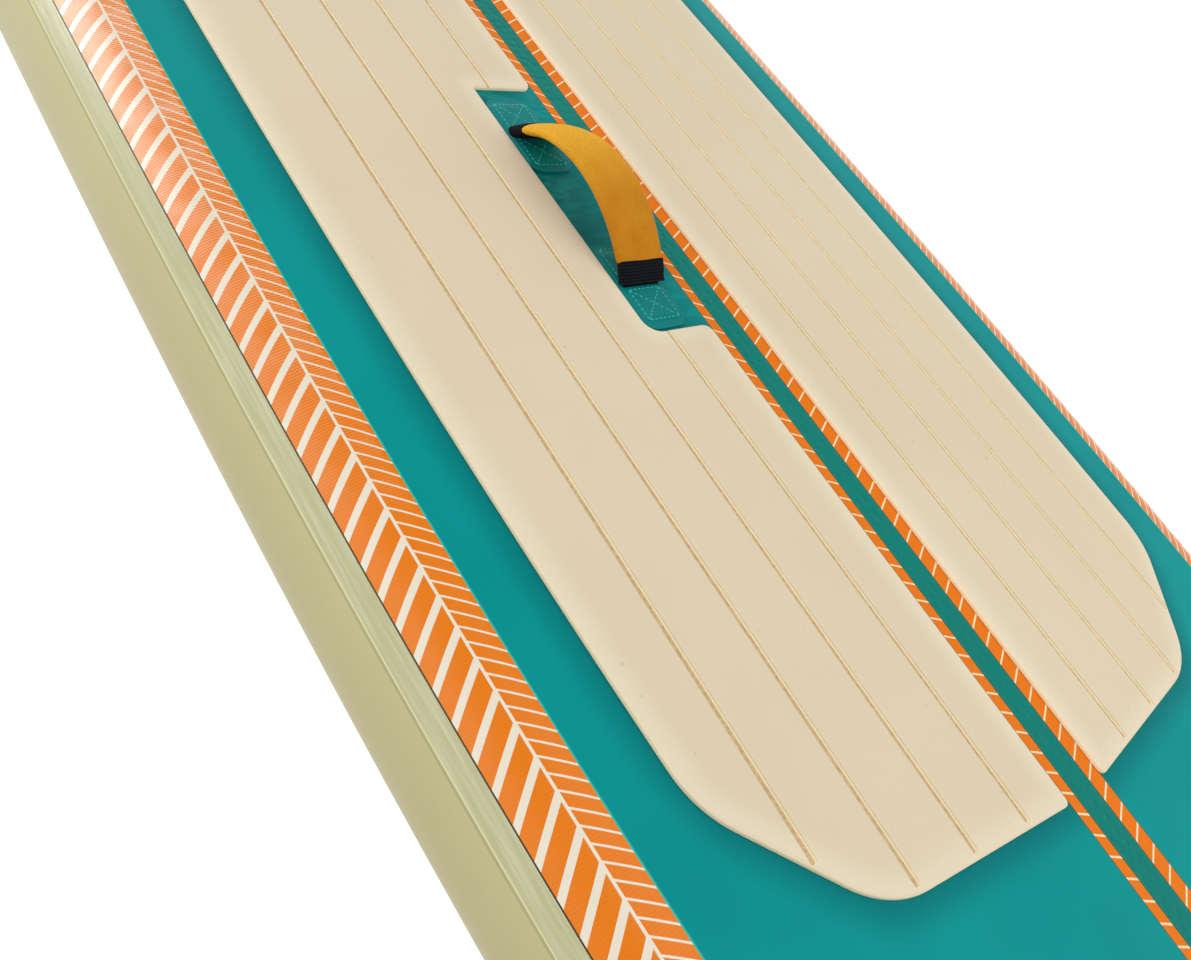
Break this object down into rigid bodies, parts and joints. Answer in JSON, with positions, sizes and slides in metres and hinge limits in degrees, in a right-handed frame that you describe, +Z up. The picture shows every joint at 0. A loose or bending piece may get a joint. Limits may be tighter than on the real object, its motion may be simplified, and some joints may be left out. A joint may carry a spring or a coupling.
{
  "type": "inflatable stand-up paddle board",
  "caption": "Drop-stitch inflatable paddle board with grooved foam deck pads, a padded carry handle, inflation valve, sliding centre fin, side fins and lashing rings.",
  "frame": {"origin": "on the flat of the underside, on the centreline at mid-length", "axes": "+X to the nose, +Y to port, +Z up from the underside to the deck"},
  "size_m": [3.2022, 0.8258, 0.4995],
  "materials": {
    "teal_pvc": "printed PVC sheet, satin, fine twill grain",
    "cream_pvc": "PVC-coated fabric, satin",
    "rail_pvc": "PVC-coated fabric, satin",
    "woven_skin": "PVC-coated drop-stitch fabric, matt",
    "polyester_yarn": "polyester yarn",
    "eva_foam": "closed-cell EVA foam, fine brushed texture, matt",
    "neoprene": "jersey-faced neoprene, matt",
    "black_webbing": "woven polyester webbing, matt",
    "black_nylon": "moulded nylon, satin",
    "seal_rubber": "moulded rubber, matt",
    "stainless_steel": "stainless steel, polished",
    "fin_plastic": "moulded plastic, satin"
  },
  "bodies": {
    "board": {"deck_overlay": "teal_pvc", "hull_overlay": "cream_pvc", "deck_skin": "woven_skin", "hull_skin": "woven_skin", "outer_rail_port": "rail_pvc", "outer_rail_starboard": "rail_pvc", "inner_rail_port": "rail_pvc", "inner_rail_starboard": "rail_pvc", "nose_joint_patch": "rail_pvc", "tail_joint_patch": "rail_pvc", "drop_stitch_yarns": "polyester_yarn", "deck_pad_port": "eva_foam", "deck_pad_starboard": "eva_foam", "handle_base_patch_front": "teal_pvc", "handle_base_patch_rear": "teal_pvc", "handle_cover_patch_front": "teal_pvc", "handle_cover_patch_rear": "teal_pvc", "handle_webbing_foot_front": "black_webbing", "handle_webbing_foot_rear": "black_webbing", "handle_webbing_root_front": "black_webbing", "handle_webbing_root_rear": "black_webbing", "handle_binding_front": "black_webbing", "handle_binding_rear": "black_webbing", "valve_housing": "black_nylon", "valve_back_nut": "black_nylon", "valve_spring": "stainless_steel", "fin_box_patch": "cream_pvc", "fin_box": "black_nylon", "side_fin_port": "fin_plastic", "side_fin_starboard": "fin_plastic", "cargo_ring_front_port_patch": "cream_pvc", "cargo_ring_front_port_loop": "black_webbing", "cargo_ring_front_starboard_patch": "cream_pvc", "cargo_ring_front_starboard_loop": "black_webbing", "cargo_ring_rear_port_patch": "cream_pvc", "cargo_ring_rear_port_loop": "black_webbing", "cargo_ring_rear_starboard_patch": "cream_pvc", "cargo_ring_rear_starboard_loop": "black_webbing", "leash_ring_patch": "cream_pvc", "leash_ring_loop": "black_webbing"},
    "handle": {"handle_sleeve": "neoprene", "handle_webbing": "black_webbing"},
    "valve_plunger": {"valve_stem": "black_nylon", "valve_seal": "seal_rubber"},
    "valve_lid": {"valve_cap": "black_nylon"},
    "fin": {"centre_fin": "fin_plastic", "fin_cross_pin": "stainless_steel", "fin_nut_plate": "stainless_steel"},
    "fin_clamp_screw": {"fin_screw": "stainless_steel"},
    "ring_front_port": {"cargo_ring_front_port": "stainless_steel"},
    "ring_front_starboard": {"cargo_ring_front_starboard": "stainless_steel"},
    "ring_rear_port": {"cargo_ring_rear_port": "stainless_steel"},
    "ring_rear_starboard": {"cargo_ring_rear_starboard": "stainless_steel"},
    "ring_leash": {"leash_ring": "stainless_steel"}
  },
  "joints": [
    {"name": "handle_tilt", "type": "hinge", "parent": "board", "child": "handle", "pos_m": [0, -0.066, 0.1365], "axis": [1, 0, 0], "range_deg": [-15, 15], "stiffness_Nm_per_rad": 0.25, "deforming": ["handle_webbing_root_front", "handle_webbing_root_rear", "handle_binding_front", "handle_binding_rear"]},
    {"name": "valve_press", "type": "slide", "parent": "board", "child": "valve_plunger", "axis": [0, 0, -1], "range_m": [0, 0.005], "stiffness_N_per_m": 600, "deforming": ["valve_spring"]},
    {"name": "cap_turn", "type": "hinge", "parent": "board", "child": "valve_lid", "pos_m": [-1.205, 0, 0.13], "axis": [0, 0, 1], "range_deg": [0, 90]},
    {"name": "fin_slide", "type": "slide", "parent": "board", "child": "fin", "axis": [1, 0, 0], "range_m": [-0.034, 0.034]},
    {"name": "screw_turn", "type": "hinge", "parent": "fin", "child": "fin_clamp_screw", "pos_m": [-1.1175, 0, -0.014], "axis": [0, 0, 1], "range_deg": [-360, 0]},
    {"name": "ring_front_port_swing", "type": "hinge", "parent": "board", "child": "ring_front_port", "pos_m": [1.07826, 0.17502, 0.16439], "axis": [0.9861, 0, 0.1661], "range_deg": [0, 150]},
    {"name": "ring_front_starboard_swing", "type": "hinge", "parent": "board", "child": "ring_front_starboard", "pos_m": [1.07826, -0.17502, 0.16439], "axis": [-0.9861, 0, -0.1661], "range_deg": [0, 150]},
    {"name": "ring_rear_port_swing", "type": "hinge", "parent": "board", "child": "ring_rear_port", "pos_m": [0.84116, 0.2161, 0.1373], "axis": [0.998, 0, 0.0627], "range_deg": [0, 150]},
    {"name": "ring_rear_starboard_swing", "type": "hinge", "parent": "board", "child": "ring_rear_starboard", "pos_m": [0.84116, -0.2161, 0.1373], "axis": [-0.998, 0, -0.0627], "range_deg": [0, 150]},
    {"name": "ring_leash_swing", "type": "hinge", "parent": "board", "child": "ring_leash", "pos_m": [-1.35247, 0, 0.1319], "axis": [0, 1, 0], "range_deg": [0, 150]}
  ]
}
